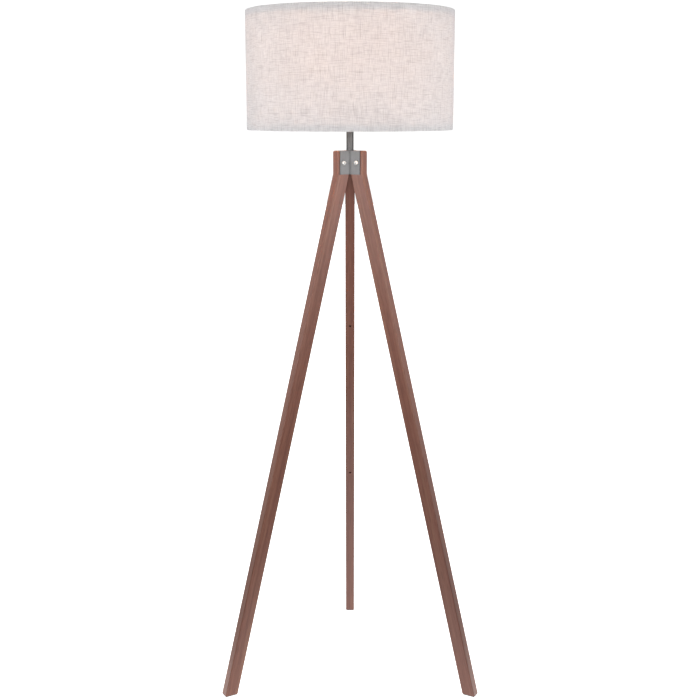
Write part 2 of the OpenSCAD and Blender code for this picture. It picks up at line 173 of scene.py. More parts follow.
def surface(tree, output, inputs):
    """A Principled surface, linked to the output."""
    shader = add(tree, "ShaderNodeBsdfPrincipled", inputs)
    tree.links.new(shader.outputs["BSDF"], output.inputs["Surface"])
    return shader


def let_through(tree, colour):
    """Light passing a thin sheet: part of it scattered evenly, part only blurred, so the bulb glows
    through."""
    inputs = {"Color": colour}
    even = add(tree, "ShaderNodeBsdfTranslucent", inputs)
    ahead = add(tree, "ShaderNodeBsdfRefraction", {**inputs, "Roughness": 1.0, "IOR": 1.4})
    both = add(tree, "ShaderNodeMixShader",
               {"Fac": SHEET_AHEAD, 1: even.outputs["BSDF"], 2: ahead.outputs["BSDF"]})
    return both.outputs["Shader"]


# ---- Finishes ----

def stained_wood():
    """Solid hardwood, planed and eased, stained red-brown under a satin lacquer.
    The stain sinks in unevenly, so the grain shows as soft darker and golden streaks along each leg."""
    material, tree, _, output = new_material("stained_hardwood_satin")
    grain = add(tree, "ShaderNodeAttribute", attribute_name="grain").outputs["Vector"]
    streaks = noise(tree, grain, (120, 120, 2.2), 5.0, 0.6)
    pores = noise(tree, grain, (900, 900, 30), 2.0, 0.5)
    drift = noise(tree, grain, (14, 14, 1.1), 2.0, 0.5)
    browns = [(0.28, "#6f4337"), (0.44, "#7d4e3f"), (0.58, "#835646"), (0.76, "#926a55")]
    body = ramp(tree, streaks, browns)
    patches = ramp(tree, drift, [(0.30, "#dac6bd"), (0.50, "#ffffff"), (0.72, "#fff0dc")])
    tinted = mixed(tree, "MULTIPLY", 0.75, body, patches)
    dark_pores = ramp(tree, pores, [(0.36, "#7b5248"), (0.50, "#ffffff")])
    pored = mixed(tree, "MULTIPLY", 0.3, tinted, dark_pores)
    # A per-leg tint multiplied into the wood: painted shade, which darkens the rear leg.
    painted_shade_tint = add(tree, "ShaderNodeAttribute", attribute_name="painted_shade_tint").outputs["Color"]
    surface(tree, output, {
        "Base Color": mixed(tree, "MULTIPLY", 1.0, pored, painted_shade_tint),
        "Roughness": spread(tree, streaks, 0.42, 0.56),
        "Coat Weight": 0.1, "Coat Roughness": 0.3,
        "Normal": bumped(tree, pores, 0.08 * MM),
    })
    return material


def pad_rubber():
    """Moulded nitrile rubber, matt, with a fine spark-eroded grain."""
    material, tree, place, output = new_material("moulded_rubber_matt")
    grit = noise(tree, place, (2200, 2200, 2200), 2.0)
    surface(tree, output, {
        "Base Color": ramp(tree, grit, [(0.3, "#1c1b1b"), (0.7, "#2a2928")]),
        "Roughness": spread(tree, grit, 0.72, 0.88),
        "Normal": bumped(tree, grit, 0.05 * MM),
    })
    return material


def brushed_metal(name, low, high, stroke, rough):
    """Metal with fine marks: stroke is how many of them lie in a metre along X, Y and Z. Where
    painted_socket_shade is set, the colour turns near black: painted shade in a screw's socket.
    """
    material, tree, place, output = new_material(name)
    lines = noise(tree, place, stroke, 4.0, 0.65)
    cloud = noise(tree, place, (45, 45, 45), 2.0)
    base = ramp(tree, lines, [(0.25, low), (0.75, high)])
    film = ramp(tree, cloud, [(0.3, "#d6d3d2"), (0.7, "#ffffff")])
    clouded = mixed(tree, "MULTIPLY", 0.35, base, film)
    # Painted shade: the inside of a screw's hexagon socket is coloured near black.
    painted_socket_shade = add(tree, "ShaderNodeAttribute", attribute_name="painted_socket_shade").outputs["Fac"]
    surface(tree, output, {
        "Base Color": mixed(tree, "MIX", painted_socket_shade, clouded, tone("#15140f")),
        "Metallic": 1.0,
        "Roughness": spread(tree, lines, rough - 0.07, rough + 0.08),
        "Normal": bumped(tree, lines, 0.02 * MM, 0.6),
    })
    return material


def hub_metal():
    """Mild steel in satin black-nickel plate, brushed upright before plating: a soft mid grey."""
    return brushed_metal("satin_nickel_brushed", "#505051", "#636262", (1600, 1600, 25), 0.4)


def bright_nickel():
    """Turned steel, barrel polished and nickel plated: bright, with painted shade in the hexagon sockets."""
    return brushed_metal("bright_nickel_plate", "#e9e8e6", "#f8f8f7", (500, 500, 500), 0.5)


def zinc_plate():
    """Zinc plated steel: a dull blue-grey with slight clouding."""
    return brushed_metal("zinc_plate", "#a2a6ac", "#c3c6ca", (260, 260, 260), 0.42)


def brass():
    """Drawn brass strip, lightly dulled by handling."""
    return brushed_metal("drawn_brass", "#b98f45", "#dcb765", (300, 300, 60), 0.3)


def aluminium():
    """Bare rolled aluminium sheet."""
    return brushed_metal("rolled_aluminium", "#b9bbbd", "#d9dadb", (30, 1500, 1500), 0.38)


def moulded(name, low, high, rough, grit_mm, coat=0.0):
    """Moulded or pressed plastic and glass: an even colour with a fine surface grain."""
    material, tree, place, output = new_material(name)
    grit = noise(tree, place, (1 / (grit_mm * MM),) * 3, 2.0)
    cloud = noise(tree, place, (60, 60, 60), 2.0)
    surface(tree, output, {
        "Base Color": ramp(tree, cloud, [(0.3, low), (0.7, high)]),
        "Roughness": spread(tree, grit, rough - 0.06, rough + 0.06),
        "Coat Weight": coat,
        "Coat Roughness": 0.08,
        "Normal": bumped(tree, grit, 0.02 * MM, 0.6),
    })
    return material


def black_plastic():
    """Phenolic moulding: near black, with a slight satin."""
    return moulded("phenolic_black", "#161617", "#222224", 0.42, 0.5)


def porcelain():
    """Pressed steatite with a thin clear glaze: a warm white with a hard gloss."""
    return moulded("glazed_steatite", "#d8d3c8", "#e8e4db", 0.35, 1.2, coat=0.8)


def white_plastic():
    """Moulded polycarbonate, white and smooth."""
    return moulded("polycarbonate_white", "#e2e1dd", "#ecebe8", 0.3, 0.8)


def black_glass():
    """Vitrite, the black glass of a lamp cap, poured and fire-smooth."""
    return moulded("vitrite_black", "#08080a", "#121216", 0.12, 3.0, coat=0.5)


def white_wire():
    """Steel wire with a white powder coat, whose thick film has a faint orange peel."""
    return moulded("powder_coat_white", "#e3e2df", "#ecebe8", 0.4, 1.6)


def opal():
    """Opal polycarbonate with the lamp burning behind it: a warm glow whose colour varies slightly."""
    material, tree, place, output = new_material("opal_lit")
    cloud = noise(tree, place, (60, 60, 60), 2.0)
    surface(tree, output, {
        "Base Color": ramp(tree, cloud, [(0.3, "#b7b0a4"), (0.7, "#c2bbaf")]),
        "Roughness": 0.35,
        "Emission Color": ramp(tree, cloud, [(0.3, "#ffd6a6"), (0.7, "#ffdfb8")]),
        "Emission Strength": BULB_GLOW,
    })
    return material


def liner_sheet():
    """Matt white styrene sheet, rolled into the drum behind the cloth: it lets most of the light through."""
    material, tree, place, output = new_material("styrene_sheet_white")
    grit = noise(tree, place, (900, 900, 900), 2.0)
    front = add(tree, "ShaderNodeBsdfPrincipled", {
        "Base Color": ramp(tree, grit, [(0.3, "#efede9"), (0.7, "#f7f6f3")]),
        "Roughness": 0.6,
        "Normal": bumped(tree, grit, 0.03 * MM, 0.5),
    })
    through = let_through(tree, tone("#f6e9e3"))
    both = add(tree, "ShaderNodeMixShader", {"Fac": 0.88, 1: front.outputs["BSDF"], 2: through})
    tree.links.new(both.outputs["Shader"], output.inputs["Surface"])
    return material


def linen():
    """Undyed linen in plain weave, laminated to the liner. Uneven yarns swell into slubs both ways.
    Yarns of such cloth lie about 0.9 mm apart. The streaks are drawn about 1.1 and 2.4 mm wide and the relief
    repeats every 3.6 mm, because finer ones would not show from afar."""
    material, tree, _, output = new_material("natural_linen_plain_weave")
    cloth = add(tree, "ShaderNodeUVMap", uv_map="cloth").outputs["UV"]
    warp = noise(tree, cloth, (420, 26, 1), 2.0, 0.6)
    weft = noise(tree, cloth, (26, 420, 1), 2.0, 0.6)
    fine_warp = noise(tree, cloth, (900, 60, 1), 1.0)
    fine_weft = noise(tree, cloth, (60, 900, 1), 1.0)
    patch = noise(tree, cloth, (9, 9, 1), 2.0)
    bands = {"Vector": cloth, "Scale": 88.0, "Distortion": 0.6, "Detail": 1.0}
    ends = add(tree, "ShaderNodeTexWave", bands, bands_direction="X").outputs["Fac"]
    picks = add(tree, "ShaderNodeTexWave", bands, bands_direction="Y").outputs["Fac"]
    base = ramp(tree, patch, [(0.3, "#f2f0f0"), (0.7, "#f7f5f5")])
    for pattern, dark, split in ((warp, "#dad8d8", 0.38), (weft, "#dad8d8", 0.38),
                                 (fine_warp, "#e6e5e7", 0.45), (fine_weft, "#e6e5e7", 0.45)):
        base = mixed(tree, "MULTIPLY", 0.5, base,
                     ramp(tree, pattern, [(split - 0.10, dark), (split + 0.12, "#ffffff")]))
    lumps = add(tree, "ShaderNodeMath", {0: warp, 1: weft}, operation="ADD").outputs["Value"]
    weave = add(tree, "ShaderNodeMath", {0: ends, 1: picks}, operation="ADD").outputs["Value"]
    relief = add(tree, "ShaderNodeMath", {0: weave, 1: 0.3, 2: lumps}, operation="MULTIPLY_ADD")
    front = add(tree, "ShaderNodeBsdfPrincipled", {
        "Base Color": base, "Roughness": 0.9, "Sheen Weight": 0.5, "Sheen Roughness": 0.35,
        "Sheen Tint": tone("#c9ccd2"),
        "Normal": bumped(tree, relief.outputs["Value"], 0.25 * MM, 0.7),
    })
    through = let_through(tree, base)
    both = add(tree, "ShaderNodeMixShader", {"Fac": 0.4, 1: front.outputs["BSDF"], 2: through})
    tree.links.new(both.outputs["Shader"], output.inputs["Surface"])
    return material


def floor_paint():
    """A white studio floor, burnt out to the same white as the surround, and clear from below."""
    material, tree, place, output = new_material("studio_floor_white")
    mottle = noise(tree, place, (3, 3, 3), 2.0)
    top = add(tree, "ShaderNodeBsdfPrincipled", {
        "Base Color": ramp(tree, mottle, [(0.3, "#f2f2f2"), (0.7, "#ffffff")]), "Roughness": 0.9,
        "Emission Color": tone("#ffffff"), "Emission Strength": SKY_SEEN,
    })
    below = add(tree, "ShaderNodeNewGeometry").outputs["Backfacing"]
    clear = add(tree, "ShaderNodeBsdfTransparent")
    both = add(tree, "ShaderNodeMixShader", {"Fac": below, 1: top.outputs["BSDF"], 2: clear.outputs["BSDF"]})
    tree.links.new(both.outputs["Shader"], output.inputs["Surface"])
    return material


FINISHES = {
    "stained_wood": stained_wood(), "pad_rubber": pad_rubber(), "hub_metal": hub_metal(),
    "nickel": bright_nickel(), "zinc_steel": zinc_plate(), "brass": brass(), "black_plastic": black_plastic(),
    "porcelain": porcelain(), "white_plastic": white_plastic(), "black_glass": black_glass(),
    "aluminium": aluminium(), "opal": opal(), "white_wire": white_wire(), "liner_sheet": liner_sheet(),
    "linen": linen(),
}

slot_of = {row["node"]: row["material_slot"] for row in frame["record"]["subparts"]}
for node_name, obj in NODES.items():
    obj.data.materials.clear()
    obj.data.materials.append(FINISHES[slot_of[node_name]])


# ---- Making pieces ----

def piece(name, mesh, body, nodes, slot):
    """A finished mesh as a piece: it rides on a body, stands for its CAD nodes and takes a slot's finish."""
    obj = bpy.data.objects.new(name, mesh)
    bpy.context.scene.collection.objects.link(obj)
    mesh.materials.clear()
    mesh.materials.append(FINISHES[slot])
    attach(obj, body)
    if nodes:
        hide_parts(*nodes)
    return obj


def baked(obj):
    """The object's mesh with its modifiers applied; the object itself is removed."""
    bpy.context.view_layer.update()
    depsgraph = bpy.context.evaluated_depsgraph_get()
    mesh = bpy.data.meshes.new_from_object(obj.evaluated_get(depsgraph), preserve_all_data_layers=True,
                                           depsgraph=depsgraph)
    mesh.name = obj.name
    bpy.data.objects.remove(obj)
    return mesh


def drafted(name, mesh):
    """A scratch object around a mesh, ready for modifiers."""
    obj = bpy.data.objects.new(name, mesh)
    bpy.context.scene.collection.objects.link(obj)
    return obj


def as_mesh(name, build):
    """A new mesh from a bmesh build function, with its faces turned outwards."""
    bm = bmesh.new()
    build(bm)
    bmesh.ops.recalc_face_normals(bm, faces=bm.faces)
    mesh = bpy.data.meshes.new(name)
    bm.to_mesh(mesh)
    bm.free()
    return mesh


def smoothed(mesh, angle=35):
    """The mesh shaded smooth, but for edges sharper than the angle in degrees."""
    mesh.shade_smooth()
    mesh.set_sharp_from_angle(angle=math.radians(angle))
    return mesh


# ---- Legs ----

def leg_side():
    """The side of a leg: a head and a shaft that share the mitre edge, each a list of (out, up) points."""
    mitre_in = (leg_head_r, LEG_KNEE_Z)
    mitre_out = (leg_head_r + leg_w, LEG_KNEE_Z + leg_w * math.tan(LEG_SPLAY / 2))
    top = leg_high.z
    corner = [(mitre_out[0] - LEG_CORNER_R * (1 - math.cos(a)), top - LEG_CORNER_R * (1 - math.sin(a)))
              for a in (math.radians(d) for d in range(0, 91, 15))]
    head = [mitre_in, mitre_out, *corner, (leg_head_r, top)]
    shaft = [mitre_in, (leg_foot_r, leg_low.z), (leg_high.y, leg_low.z), mitre_out]
    return head, shaft


def leg_blank(bm):
    """The leg pointing along +X, with sharp edges."""
    head, shaft = leg_side()
    outline = [*shaft[:3], *head[1:]]
    rings = []
    for y in (-leg_t / 2, leg_t / 2):
        rings.append({point: bm.verts.new((point[0], y, point[1])) for point in outline})
    for ring in rings:
        for part in (head, shaft):
            bm.faces.new([ring[point] for point in part])
    near, far = rings
    for a, b in zip(outline, outline[1:] + outline[:1]):
        bm.faces.new((near[a], near[b], far[b], far[a]))


def drill(obj, radius, start, direction, length):
    """Takes a round hole out of a draft with a Boolean modifier; returns the drill, to be removed later."""
    def rod(bm):
        bmesh.ops.create_cone(bm, cap_ends=True, segments=32, radius1=radius, radius2=radius, depth=length)
        turn = Vector(direction).to_track_quat("Z", "Y").to_matrix().to_4x4()
        bmesh.ops.transform(bm, matrix=Matrix.Translation(start) @ turn, verts=bm.verts)
    tool = drafted("drill", as_mesh("drill", rod))
    cut = obj.modifiers.new("drill", "BOOLEAN")
    cut.operation = "DIFFERENCE"
    cut.solver = "EXACT"
    cut.object = tool
    return tool


def leg(name, azimuth, painted_shade_colour, tie_heights=()):
    """A leg at an azimuth, with a tint over its wood colour: on the rear leg the tint darkens the wood as
    painted shade.
    """
    blank = drafted(name, as_mesh(name, leg_blank))
    ease = blank.modifiers.new("ease", "BEVEL")
    ease.limit_method = "ANGLE"
    ease.angle_limit = math.radians(40)
    ease.width = LEG_EDGE_R
    ease.segments = 3
    tools = []
    for z in tie_heights:
        start = (leg_head_r + (LEG_KNEE_Z - z) * math.tan(LEG_SPLAY), 0, z)
        direction = (math.cos(LEG_SPLAY), 0, math.sin(LEG_SPLAY))
        tools.append(drill(blank, TIE_HOLE_R, start, direction, 5 * leg_w))
    even = blank.modifiers.new("even", "WEIGHTED_NORMAL")
    even.keep_sharp = True
    blank.data.shade_smooth()
    mesh = baked(blank)
    for tool in tools:
        bpy.data.objects.remove(tool)
    painted_shade_tint = mesh.attributes.new("painted_shade_tint", "FLOAT_COLOR", "POINT")
    for row in painted_shade_tint.data:
        row.color = tone(painted_shade_colour)
    grain = mesh.attributes.new("grain", "FLOAT_VECTOR", "POINT")
    down = Vector((math.sin(LEG_SPLAY), 0, -math.cos(LEG_SPLAY)))
    across = Vector((math.cos(LEG_SPLAY), 0, math.sin(LEG_SPLAY)))
    knee = Vector((leg_head_r, 0, LEG_KNEE_Z))
    for vertex, row in zip(mesh.vertices, grain.data):
        offset = vertex.co - knee
        out, along = (offset.x, offset.z) if offset.z > 0 else (offset.dot(across), -offset.dot(down))
        row.vector = (out + azimuth, vertex.co.y + azimuth, along)
    mesh.transform(Matrix.Rotation(azimuth, 4, "Z"))
    return piece(name.replace("leg", "wood_leg"), mesh, "stand", [name], "stained_wood")


# The rear leg's tint is painted shade that darkens it; the front legs keep their wood colour.
leg("leg_rear", REAR, "#e6e4e6", TIE_HOLE_HEIGHTS)
leg("leg_right", RIGHT, "#ffffff")
leg("leg_left", LEFT, "#ffffff")


# ---- Geometry Nodes shared by what repeats ----

def node_group(name, inputs):
    """A new geometry tree with named inputs (name, socket kind, default), and its group input's sockets."""
    tree = bpy.data.node_groups.new(name, "GeometryNodeTree")
    tree.interface.new_socket("Geometry", in_out="INPUT", socket_type="NodeSocketGeometry")
    tree.interface.new_socket("Geometry", in_out="OUTPUT", socket_type="NodeSocketGeometry")
    for label, kind, default in inputs:
        socket = tree.interface.new_socket(label, in_out="INPUT", socket_type=kind)
        if default is not None:
            socket.default_value = default
    source = add(tree, "NodeGroupInput")
    return tree, source.outputs


def close_group(tree, source, geometry):
    """Ends a geometry tree: real meshes, with their material."""
    real = add(tree, "GeometryNodeRealizeInstances", {"Geometry": geometry})
    painted = add(tree, "GeometryNodeSetMaterial",
                  {"Geometry": real.outputs["Geometry"], "Material": source["Material"]})
    add(tree, "NodeGroupOutput", {"Geometry": painted.outputs["Geometry"]})
    return tree


def copies_on_a_ring():
    """Copies of the given mesh around the Z axis; each copy's own +X points away from the axis."""
    tree, source = node_group("copies_on_a_ring", [
        ("Count", "NodeSocketInt", 3), ("Radius", "NodeSocketFloat", 0.03),
        ("Height", "NodeSocketFloat", 0.0), ("Turn", "NodeSocketFloat", 0.0),
        ("Material", "NodeSocketMaterial", None)])
    ring = add(tree, "GeometryNodeMeshCircle", {"Vertices": source["Count"], "Radius": source["Radius"]})
    outward = add(tree, "FunctionNodeAlignRotationToVector",
                  {"Vector": add(tree, "GeometryNodeInputPosition").outputs[0]}, axis="X", pivot_axis="Z")
    copies = add(tree, "GeometryNodeInstanceOnPoints",
                 {"Points": ring.outputs["Mesh"], "Instance": source["Geometry"],
                  "Rotation": outward.outputs["Rotation"]})
    place = add(tree, "ShaderNodeCombineXYZ", {"Z": source["Height"]}).outputs["Vector"]
    turn = add(tree, "ShaderNodeCombineXYZ", {"Z": source["Turn"]}).outputs["Vector"]
    real = add(tree, "GeometryNodeRealizeInstances", {"Geometry": copies.outputs["Instances"]})
    moved = add(tree, "GeometryNodeTransform",
                {"Geometry": real.outputs["Geometry"], "Translation": place, "Rotation": turn})
    return close_group(tree, source, moved.outputs["Geometry"])


def copies_in_a_row():
    """Copies of the given mesh along the X axis, centred on the origin."""
    tree, source = node_group("copies_in_a_row", [
        ("Count", "NodeSocketInt", 5), ("Pitch", "NodeSocketFloat", 0.004),
        ("Material", "NodeSocketMaterial", None)])
    gaps = add(tree, "ShaderNodeMath", {0: source["Count"], 1: 1.0}, operation="SUBTRACT").outputs["Value"]
    length = add(tree, "ShaderNodeMath", {0: gaps, 1: source["Pitch"]}, operation="MULTIPLY").outputs["Value"]
    back = add(tree, "ShaderNodeMath", {0: length, 1: -0.5}, operation="MULTIPLY").outputs["Value"]
    start = add(tree, "ShaderNodeCombineXYZ", {"X": back}).outputs["Vector"]
    step = add(tree, "ShaderNodeCombineXYZ", {"X": source["Pitch"]}).outputs["Vector"]
    row = add(tree, "GeometryNodeMeshLine",
              {"Count": source["Count"], "Start Location": start, "Offset": step},
              mode="OFFSET", count_mode="TOTAL")
    copies = add(tree, "GeometryNodeInstanceOnPoints",
                 {"Points": row.outputs["Mesh"], "Instance": source["Geometry"]})
    return close_group(tree, source, copies.outputs["Instances"])


def thread_ridge():
    """The ridge of a screw thread: a round section swept along a helix that rises from the origin."""
    tree, source = node_group("thread_ridge", [
        ("Radius", "NodeSocketFloat", 0.01), ("Pitch", "NodeSocketFloat", 0.002),
        ("Turns", "NodeSocketFloat", 5.0), ("Ridge", "NodeSocketFloat", 0.0005),
        ("Material", "NodeSocketMaterial", None)])
    rise = add(tree, "ShaderNodeMath", {0: source["Pitch"], 1: source["Turns"]}, operation="MULTIPLY")
    helix = add(tree, "GeometryNodeCurveSpiral", {
        "Resolution": 64, "Rotations": source["Turns"], "Start Radius": source["Radius"],
        "End Radius": source["Radius"], "Height": rise.outputs["Value"]})
    section = add(tree, "GeometryNodeCurvePrimitiveCircle", {"Resolution": 8, "Radius": source["Ridge"]})
    swept = add(tree, "GeometryNodeCurveToMesh", {
        "Curve": helix.outputs["Curve"], "Profile Curve": section.outputs["Curve"], "Fill Caps": True})
    smooth = add(tree, "GeometryNodeSetShadeSmooth", {"Geometry": swept.outputs["Mesh"]})
    return close_group(tree, source, smooth.outputs["Geometry"])


GROUPS = {"ring": copies_on_a_ring(), "row": copies_in_a_row(), "thread": thread_ridge()}


def grown(name, group, mesh, **values):
    """The mesh that a geometry tree makes from a starting mesh, with the tree's named inputs set."""
    draft = drafted(name, mesh)
    modifier = draft.modifiers.new(name, "NODES")
    modifier.node_group = GROUPS[group]
    for item in GROUPS[group].interface.items_tree:
        key = item.name.lower()
        if item.in_out == "INPUT" and key in values:
            modifier[item.identifier] = values[key]
    return baked(draft)


# ---- Lathe and rod shapes ----

def lathe(bm, profile, around=128, closed=True):
    """Spins (r, z) points about Z. A closed profile is a ring-shaped solid; an open one ends on the axis."""
    rings = []
    for r, z in profile:
        if r < 1e-7:
            rings.append([bm.verts.new((0, 0, z))])
        else:
            rings.append([bm.verts.new((r * math.cos(a), r * math.sin(a), z))
                          for a in (2 * math.pi * k / around for k in range(around))])
    pairs = list(zip(rings, rings[1:])) + ([(rings[-1], rings[0])] if closed else [])
    for low, high in pairs:
        for k in range(around):
            n = (k + 1) % around
            corners = [low[k % len(low)], low[n % len(low)], high[n % len(high)], high[k % len(high)]]
            unique = list(dict.fromkeys(corners))
            if len(unique) > 2:
                bm.faces.new(unique)


def arc(centre, radius, start, end, steps):
    """(r, z) points along an arc, angles in degrees."""
    return [(centre[0] + radius * math.cos(math.radians(start + (end - start) * k / steps)),
             centre[1] + radius * math.sin(math.radians(start + (end - start) * k / steps)))
            for k in range(steps + 1)]


def spun(name, profile, around=128, closed=True, angle=35):
    """A smooth mesh spun from a profile."""
    return smoothed(as_mesh(name, lambda bm: lathe(bm, profile, around, closed)), angle)


def eased(node, width, body="stand", angle=40):
    """A CAD node's shape with a small rounding along its sharp edges, standing for that node."""
    def copy(bm):
        bm.from_mesh(NODES[node].data)
        bmesh.ops.remove_doubles(bm, verts=bm.verts, dist=1e-6)
        bmesh.ops.dissolve_limit(bm, angle_limit=math.radians(0.4), verts=bm.verts, edges=bm.edges)
    blank = drafted(node + "_finished", as_mesh(node, copy))
    blank.data.shade_smooth()
    ease = blank.modifiers.new("ease", "BEVEL")
    ease.limit_method = "ANGLE"
    ease.angle_limit = math.radians(angle)
    ease.width = width
    ease.segments = 2
    even = blank.modifiers.new("even", "WEIGHTED_NORMAL")
    even.keep_sharp = True
    name = blank.name
    return piece(name, baked(blank), body, [node], slot_of[node])


# ---- Feet ----

def rubber_feet():
    """Three pads, each a thin plate with cross ribs below, glued under a foot."""
    length = pad_high.y - pad_low.y
    width = pad_high.x - pad_low.x
    height = pad_high.z - pad_low.z
    rib_h = 0.7 * MM
    rib_w = 1.8 * MM
    rib_pitch = 3.6 * MM
    rib_root = 0.3 * MM
    margin = 2 * MM
    ribs = int((length - margin) / rib_pitch)

    def block(size, centre, ease):
        def build(bm):
            bmesh.ops.create_cube(bm, size=1.0)
            bmesh.ops.scale(bm, vec=size, verts=bm.verts)
            bmesh.ops.translate(bm, vec=centre, verts=bm.verts)
            bmesh.ops.bevel(bm, geom=bm.edges[:], offset=ease, segments=2, profile=0.5, affect="EDGES")
        return build
    plate_size = (length, width, height - rib_h)
    rib_size = (rib_w, width - margin, rib_h + rib_root)
    plate = as_mesh("plate", block(plate_size, (0, 0, (height + rib_h) / 2), 0.3 * MM))
    rib = as_mesh("rib", block(rib_size, (0, 0, (rib_h + rib_root) / 2), 0.2 * MM))
    row = grown("ribs", "row", rib, count=ribs, pitch=rib_pitch)

    def both(bm):
        bm.from_mesh(plate)
        bm.from_mesh(row)
    foot = as_mesh("foot", both)
    middle = (pad_low.y + pad_high.y) / 2
    mesh = grown("rubber_feet", "ring", foot, count=3, radius=middle, turn=REAR)
    pads = ["foot_pad_left", "foot_pad_right", "foot_pad_rear"]
    piece("rubber_feet", smoothed(mesh), "stand", pads, "pad_rubber")


rubber_feet()

# ---- Hub ----

BOLT_REACH = 22.7 * MM
PLATE_T = 2 * MM
HEAD_R = 4.75 * MM
HEAD_H = 2.7 * MM
SOCKET_AF = 3 * MM
SOCKET_DEPTH = 2.1 * MM
BOLT_R = 2.5 * MM
BOLT_L = 18 * MM
SLEEVE_R = 3.5 * MM
SLEEVE_L = 22 * MM
bolt_z = (bolt_low.z + bolt_high.z) / 2
seat_y = leg_t / 2 + PLATE_T

for side in ("front", "left", "right"):
    eased("bracket_" + side, 0.35 * MM, angle=60)


def socket_screw(bm_name, shank_r, shank_l):
    """A button-head screw or sleeve nut along +Z, its head standing on z = 0, with a hexagon socket."""
    rim = 0.35 * MM
    turns = [math.radians(a) for a in range(0, 90, 9)]
    dome = [(HEAD_R * math.cos(t) ** 0.7, rim + (HEAD_H - rim) * math.sin(t) ** 0.7) for t in turns]
    profile = [(0, -shank_l), (shank_r - rim, -shank_l), (shank_r, -shank_l + rim), (shank_r, 0),
               (HEAD_R - rim / 2, 0), (HEAD_R, rim / 2)] + dome + [(0, HEAD_H)]
    blank = drafted(bm_name, as_mesh(bm_name, lambda bm: lathe(bm, profile, 48, closed=False)))

    def key(bm):
        bmesh.ops.create_cone(bm, cap_ends=True, segments=6, radius1=SOCKET_AF / math.sqrt(3),
                              radius2=SOCKET_AF / math.sqrt(3), depth=2 * SOCKET_DEPTH)
        bmesh.ops.translate(bm, vec=(0, 0, HEAD_H), verts=bm.verts)
    tool = drafted("key", as_mesh("key", key))
    cut = blank.modifiers.new("socket", "BOOLEAN")
    cut.solver = "EXACT"
    cut.object = tool
    mesh = baked(blank)
    bpy.data.objects.remove(tool)
    # Marks the socket's inside, which the nickel finish colours near black as painted shade.
    painted_socket_shade = mesh.attributes.new("painted_socket_shade", "FLOAT", "POINT")
    for vertex, row in zip(mesh.vertices, painted_socket_shade.data):
        in_socket = 0 < vertex.co.z < HEAD_H - SOCKET_DEPTH / 2 and math.hypot(*vertex.co.xy) < SOCKET_AF
        row.value = 1.0 if in_socket else 0.0
    return smoothed(mesh, 30)


def hub_screws(name, side, shank_r, shank_l):
    """One screw or nut through each leg's head, on the given side of the legs."""
    lean = math.atan2(seat_y, BOLT_REACH)
    screw = socket_screw(name, shank_r, shank_l)
    laid = Matrix.Rotation(math.pi / 2, 4, "Y")
    screw.transform(Matrix.Rotation(side * (math.pi / 2 - lean), 4, "Z") @ laid)
    mesh = grown(name, "ring", screw, count=3, radius=math.hypot(seat_y, BOLT_REACH), height=bolt_z,
                 turn=REAR + side * lean)
    piece(name + "_finished", mesh, "stand", [name], "nickel")


hub_screws("hub_bolts", -1, BOLT_R, BOLT_L)
hub_screws("sleeve_nuts", 1, SLEEVE_R, SLEEVE_L)
eased("hub_nut", 0.4 * MM)
eased("pole", 0.25 * MM, angle=60)
eased("holder_washer", 0.4 * MM, angle=60)

# ---- Lampholder ----

eased("shade_ring_nut", 0.3 * MM, angle=60)
eased("switch_knob", 0.4 * MM, body="switch", angle=60)
_, nut_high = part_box("shade_ring_nut")


def seed_mesh(name):
    """One point for a tree that makes its own shape."""
    return as_mesh(name, lambda bm: bm.verts.new((0, 0, 0)))


def thread(name, radius, pitch, turns, ridge, start_z, slot):
    """A screw thread on the lampholder, rising from a height."""
    mesh = grown(name, "thread", seed_mesh(name), radius=radius, pitch=pitch, turns=turns, ridge=ridge)
    mesh.transform(Matrix.Translation((0, 0, start_z)))
    piece(name, mesh, "stand", [], slot)


NUT_FLANGE = 4.5 * MM
THREAD_PITCH = 2.4 * MM
THREAD_TURNS = 6.5
THREAD_RIDGE = 0.4 * MM
thread("skirt_thread", nut_high.x - NUT_FLANGE, THREAD_PITCH, THREAD_TURNS, THREAD_RIDGE,
       nut_high.z + 2 * THREAD_RIDGE, "black_plastic")

# ---- The shade's frame ----

def wire_ring(name, node):
    """A ring bent from round wire; the butt weld leaves a slight swelling at the back."""
    low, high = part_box(node)
    wire_r = (high.z - low.z) / 2
    ring_r = high.x - wire_r
    around, sides = 240, 14
    weld_at = REAR + 0.1

    def build(bm):
        rings = []
        for k in range(around):
            a = 2 * math.pi * k / around
            off = math.remainder(a - weld_at, 2 * math.pi) * ring_r
            r = wire_r * (1 + 0.03 * math.exp(-(off / (3 * MM)) ** 2))
            ring = []
            for j in range(sides):
                b = 2 * math.pi * j / sides
                out = ring_r + r * math.cos(b)
                up = (low.z + high.z) / 2 + r * math.sin(b)
                ring.append(bm.verts.new((out * math.cos(a), out * math.sin(a), up)))
            rings.append(ring)
        for k in range(around):
            one, two = rings[k], rings[(k + 1) % around]
            for j in range(sides):
                bm.faces.new((one[j], one[(j + 1) % sides], two[(j + 1) % sides], two[j]))
    piece(name, smoothed(as_mesh(name, build)), "shade", [node], "white_wire")


wire_ring("wire_ring_bottom", "wire_bottom")
wire_ring("wire_ring_top", "wire_top")
_, fitter_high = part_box("fitter_ring")
ARM_R = 1.6 * MM
ARM_ON_RING = 5.5 * MM
ARM_PAST_RING = 1 * MM


def swept(bm, points, radius, sides=14):
    """A round rod along points in the XZ plane, with closed ends."""
    across = Vector((0, 1, 0))
    angles = [2 * math.pi * j / sides for j in range(sides)]
    rings = []
    for k, point in enumerate(points):
        before = points[max(k - 1, 0)]
        after = points[min(k + 1, len(points) - 1)]
        run = (Vector(after) - Vector(before)).normalized()
        up = Vector((-run.z, 0, run.x))
        rings.append([bm.verts.new(Vector(point) + radius * (math.cos(b) * up + math.sin(b) * across))
                      for b in angles])
    for one, two in zip(rings, rings[1:]):
        for j in range(sides):
            bm.faces.new((one[j], one[(j + 1) % sides], two[(j + 1) % sides], two[j]))
    bm.faces.new(rings[0])
    bm.faces.new(rings[-1])


